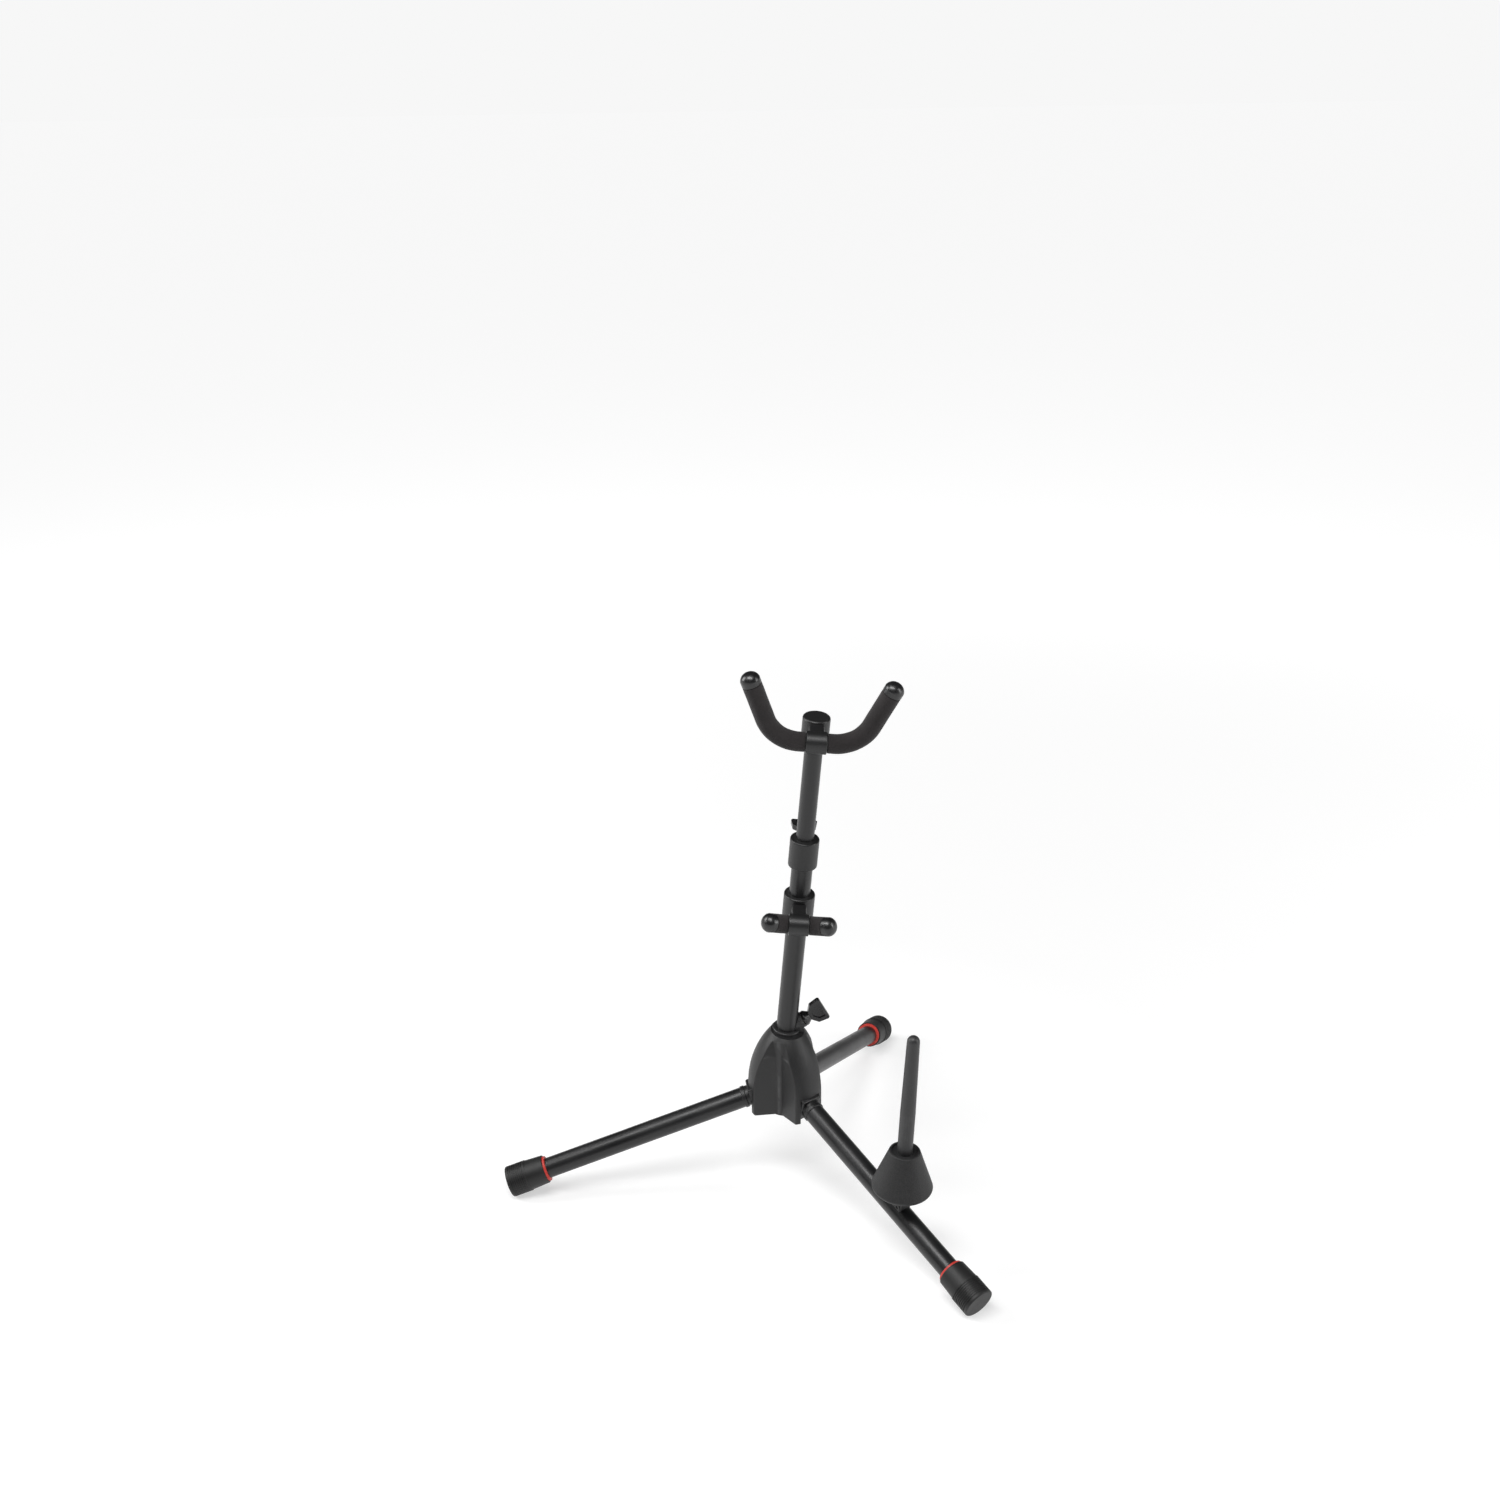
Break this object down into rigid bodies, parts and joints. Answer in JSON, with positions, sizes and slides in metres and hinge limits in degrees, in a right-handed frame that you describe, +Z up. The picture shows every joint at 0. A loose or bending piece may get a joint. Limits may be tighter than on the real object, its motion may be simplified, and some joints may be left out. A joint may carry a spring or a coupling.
{
  "type": "saxophone stand",
  "caption": "Folding tripod stand with a leaning telescopic post, padded upper yoke and lower cradle for a saxophone, and a cone peg for a flute on one leg.",
  "frame": {"origin": "on the floor, under the centre of the hub, where the three leg axes' planes meet", "axes": "+Z up; the padded rests open towards -Y; the flute peg's leg runs out towards +X and -Y"},
  "size_m": [0.4367, 0.4723, 0.5346],
  "materials": {
    "powder_coat": "black satin powder coat",
    "hub_plastic": "charcoal, fine texture",
    "joint_plastic": "black, fine texture",
    "bushing_plastic": "charcoal, smooth",
    "foot_rubber": "black satin",
    "ring_rubber": "red matte",
    "cap_plastic": "black gloss",
    "knob_plastic": "black, slightly glossy",
    "foam": "charcoal foam, fine open skin",
    "cone_plastic": "dark grey, fine grain",
    "peg_plastic": "dark grey, satin",
    "screw_steel": "zinc plated",
    "insert_brass": "turned"
  },
  "bodies": {
    "base": {"hub_body": "hub_plastic", "post_bushing": "bushing_plastic", "leg_pivot_pins": "screw_steel", "clamp_insert": "insert_brass"},
    "hub_knob": {"hub_wing_knob": "knob_plastic", "hub_knob_screw": "screw_steel"},
    "leg_left": {"leg_joint_left": "joint_plastic", "leg_tube_left": "powder_coat", "foot_cap_left": "foot_rubber", "foot_ring_left": "ring_rubber"},
    "leg_right": {"leg_joint_right": "joint_plastic", "leg_tube_right": "powder_coat", "foot_cap_right": "foot_rubber", "foot_ring_right": "ring_rubber", "peg_saddle": "cone_plastic", "saddle_pin": "joint_plastic", "peg_stud": "screw_steel"},
    "leg_back": {"leg_joint_back": "joint_plastic", "leg_tube_back": "powder_coat", "foot_cap_back": "foot_rubber", "foot_ring_back": "ring_rubber"},
    "flute_peg": {"peg_cone": "cone_plastic", "peg_base": "cone_plastic", "peg_rod": "peg_plastic"},
    "lower_post": {"lower_post_tube": "powder_coat", "post_collar": "joint_plastic", "cradle_bracket": "joint_plastic", "cradle_bolt": "screw_steel", "cradle_rod": "powder_coat", "cradle_foam_right": "foam", "cradle_foam_left": "foam", "cradle_cap_right": "cap_plastic", "cradle_cap_left": "cap_plastic"},
    "collar_knob": {"collar_wing_knob": "knob_plastic", "collar_knob_screw": "screw_steel"},
    "upper_post": {"upper_post_tube": "powder_coat", "upper_post_plug": "joint_plastic", "yoke_bracket": "joint_plastic", "yoke_screw": "screw_steel", "yoke_rod": "powder_coat", "yoke_foam_right": "foam", "yoke_foam_left": "foam", "yoke_cap_right": "cap_plastic", "yoke_cap_left": "cap_plastic"}
  },
  "joints": [
    {"name": "leg_left_fold", "type": "hinge", "parent": "base", "child": "leg_left", "pos_m": [-0.02336, -0.00258, 0.09351], "axis": [0.1097, -0.994, 0], "range_deg": [0, 70]},
    {"name": "leg_right_fold", "type": "hinge", "parent": "base", "child": "leg_right", "pos_m": [0.01391, -0.01894, 0.09351], "axis": [0.8059, 0.592, 0], "range_deg": [0, 70]},
    {"name": "leg_back_fold", "type": "hinge", "parent": "base", "child": "leg_back", "pos_m": [0.00945, 0.02152, 0.09351], "axis": [-0.9157, 0.4019, 0], "range_deg": [0, 70]},
    {"name": "hub_knob_turn", "type": "hinge", "parent": "base", "child": "hub_knob", "pos_m": [0.01556, 0.00172, 0.16724], "axis": [0.8735, 0.0964, 0.4772], "range_deg": [0, 720]},
    {"name": "post_turn", "type": "hinge", "parent": "base", "child": "lower_post", "pos_m": [0, 0, 0.158], "axis": [0.0824, -0.1122, 0.9903], "continuous": true},
    {"name": "post_height", "type": "slide", "parent": "lower_post", "child": "upper_post", "axis": [0.0824, -0.1122, 0.9903], "range_m": [-0.07, 0.04]},
    {"name": "collar_knob_turn", "type": "hinge", "parent": "lower_post", "child": "collar_knob", "pos_m": [0.01697, -0.00405, 0.35809], "axis": [0.0267, 0.9935, 0.1103], "range_deg": [0, 720]},
    {"name": "flute_peg_turn", "type": "hinge", "parent": "leg_right", "child": "flute_peg", "pos_m": [0.09768, -0.13298, 0.078], "axis": [0.0413, -0.0562, 0.9976], "range_deg": [0, 1440]}
  ]
}
